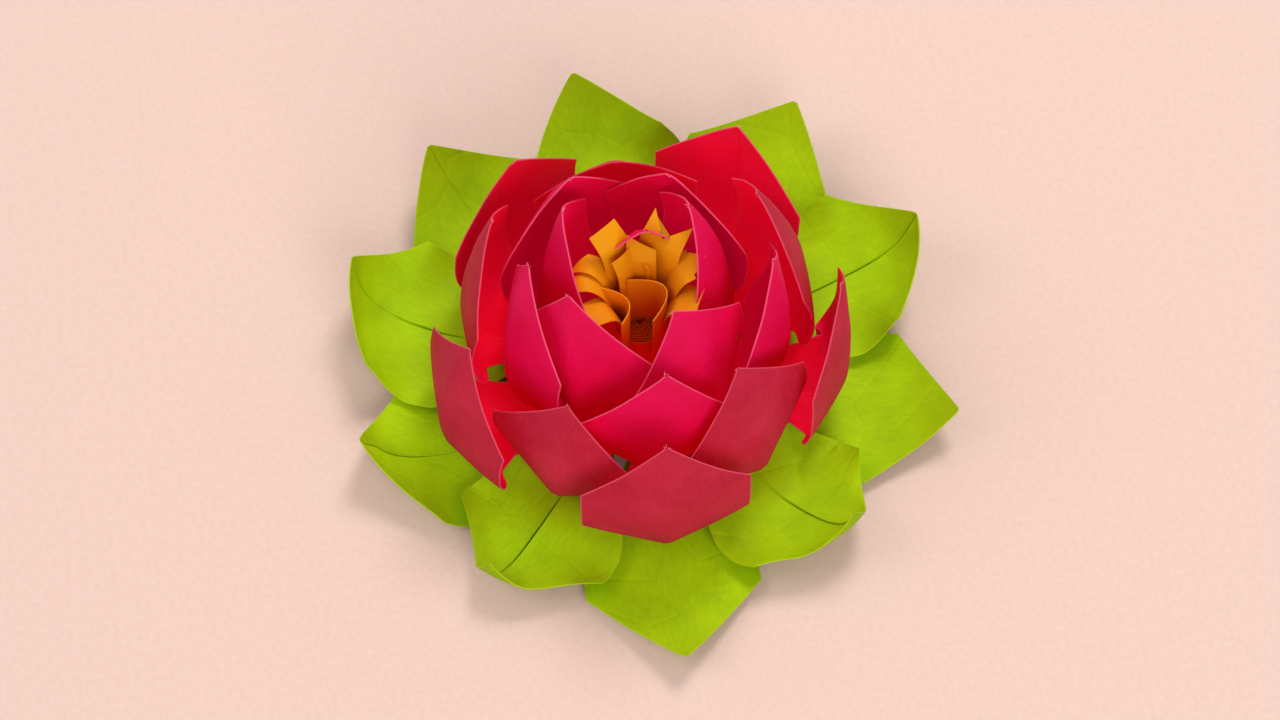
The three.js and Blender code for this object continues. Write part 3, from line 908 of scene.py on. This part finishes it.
# %% Torn fibres and cotton
tree, shader = shader_of(fray_paper)
place = add_node(tree, "ShaderNodeTexCoord").outputs["Object"]
grain = add_node(tree, "ShaderNodeTexNoise", [("Vector", place)], [("Scale", 1 / 0.003)])
tint = two_tone(tree, grain.outputs[0], "#d9486a", "#f2a0b2")
tree.links.new(tint, shader.inputs["Base Color"])
shader.inputs["Roughness"].default_value = 0.8

# Twisted cotton shows its plies as slanted bands. Here they come every 3.8 mm along the thread.
tree, shader = shader_of(cotton)
place = add_node(tree, "ShaderNodeTexCoord").outputs["Object"]
twist = add_node(
    tree,
    "ShaderNodeTexWave",
    [("Vector", place)],
    [("Scale", 1 / 0.006), ("Distortion", 1.5)],
    bands_direction="DIAGONAL",
)
tint = two_tone(tree, twist.outputs[0], "#c9bda6", "#efe8da")
tree.links.new(tint, shader.inputs["Base Color"])
bump = add_node(
    tree, "ShaderNodeBump", [("Height", twist.outputs[0])], [("Strength", 0.5), ("Distance", 0.0002)]
)
tree.links.new(bump.outputs[0], shader.inputs["Normal"])
shader.inputs["Roughness"].default_value = 0.9
print("other finishes:", fray_paper.name, cotton.name)

# %% [markdown]
# ## Joining
# In the real flower the thread holds everything together, so nothing moves against anything else. Every
# piece rides on the one body there is. A folded sheet takes the place of its solid, and the fibres are
# added to what is there.

# %% Join every piece to the solid model
finishes = {"leaf": green, "outer_petal": rose_outer, "inner_petal": rose_inner}
for kind, pieces in sheets.items():
    for piece in pieces:
        piece.data.materials.append(finishes[kind])
        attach(piece, "root")
        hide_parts(piece.name.replace("folded_", "").replace(kind, kind + "_sheet"))
fringe.data.materials.append(yellow)
for piece, node, slot in (
    (fringe, "stamen_roll", "yellow_paper"),
    (thread, "binding_thread", "cotton_thread"),
    (fibres, None, "rose_paper"),
):
    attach(piece, "root")
    if node:
        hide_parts(node)

# %% [markdown]
# ## Table, light and camera
# The flower lies on a pale table. The strongest soft light is above and behind it, so its shadow falls
# towards the viewer, and two more fill in from the left and the front. A bare lamp would give hard
# shadows that hide the folds. The camera looks down steeply from the front, a little from the left.

# %% Table
table_mesh = bpy.data.meshes.new("pale_table")
table_mesh.from_pydata([(-4, -4, 0), (4, -4, 0), (4, 4, 0), (-4, 4, 0)], [], [(0, 1, 2, 3)])
table = bpy.data.objects.new("pale_table", table_mesh)
bpy.context.collection.objects.link(table)
pale = bpy.data.materials.new("pale_table_cloth")
tree, shader = shader_of(pale)
place = add_node(tree, "ShaderNodeTexCoord").outputs["Object"]
grain = add_node(tree, "ShaderNodeTexNoise", [("Vector", place)], [("Scale", 1 / 0.0012), ("Detail", 2.0)])
tint = two_tone(tree, grain.outputs[0], "#debdb2", "#e8cbc0")
tree.links.new(tint, shader.inputs["Base Color"])
shader.inputs["Roughness"].default_value = 0.9
table_mesh.materials.append(pale)
print("table:", table.name)

# %% Light
scene = bpy.context.scene
scene.view_settings.view_transform = "Standard"
world = bpy.data.worlds.new("soft_room")
scene.world = world
world.use_nodes = True
sky = world.node_tree.nodes["Background"]
sky.inputs["Color"].default_value = linear("#fffdfb")
sky.inputs["Strength"].default_value = 0.48


def soft_box(name, place, size, power):
    lamp = bpy.data.lights.new(name, "AREA")
    lamp.shape = "DISK"
    lamp.size = size
    lamp.energy = power
    lamp.color = linear("#fffcf8")[:3]
    holder = bpy.data.objects.new(name, lamp)
    bpy.context.collection.objects.link(holder)
    holder.location = place
    x, y, z = place
    holder.rotation_euler = (math.atan2(math.hypot(x, y), z), 0, math.atan2(y, x) + math.pi / 2)


soft_box("soft_box_back", (0.3, 0.5, 0.9), 0.4, 5.2)
soft_box("soft_box_left", (-0.7, 0.1, 0.7), 0.6, 2.2)
soft_box("soft_box_front", (0.2, -0.9, 0.6), 0.7, 5.5)
print("lights:", len(bpy.data.lights))

# %% Camera
CAMERA_AZIMUTH = math.radians(-7.75)
CAMERA_ELEVATION = math.radians(62)
CAMERA_DISTANCE = 0.7
TARGET_HEIGHT = 0.0063
lens = bpy.data.cameras.new("photo_view")
lens.sensor_width = 36
lens.lens = 89.8
camera = bpy.data.objects.new("photo_view", lens)
bpy.context.collection.objects.link(camera)
flat = CAMERA_DISTANCE * math.cos(CAMERA_ELEVATION)
camera.location = (
    flat * math.sin(CAMERA_AZIMUTH),
    -flat * math.cos(CAMERA_AZIMUTH),
    TARGET_HEIGHT + CAMERA_DISTANCE * math.sin(CAMERA_ELEVATION),
)
camera.rotation_euler = (math.pi / 2 - CAMERA_ELEVATION, 0, CAMERA_AZIMUTH)
scene.camera = camera
print("camera at", tuple(round(v, 3) for v in camera.location))
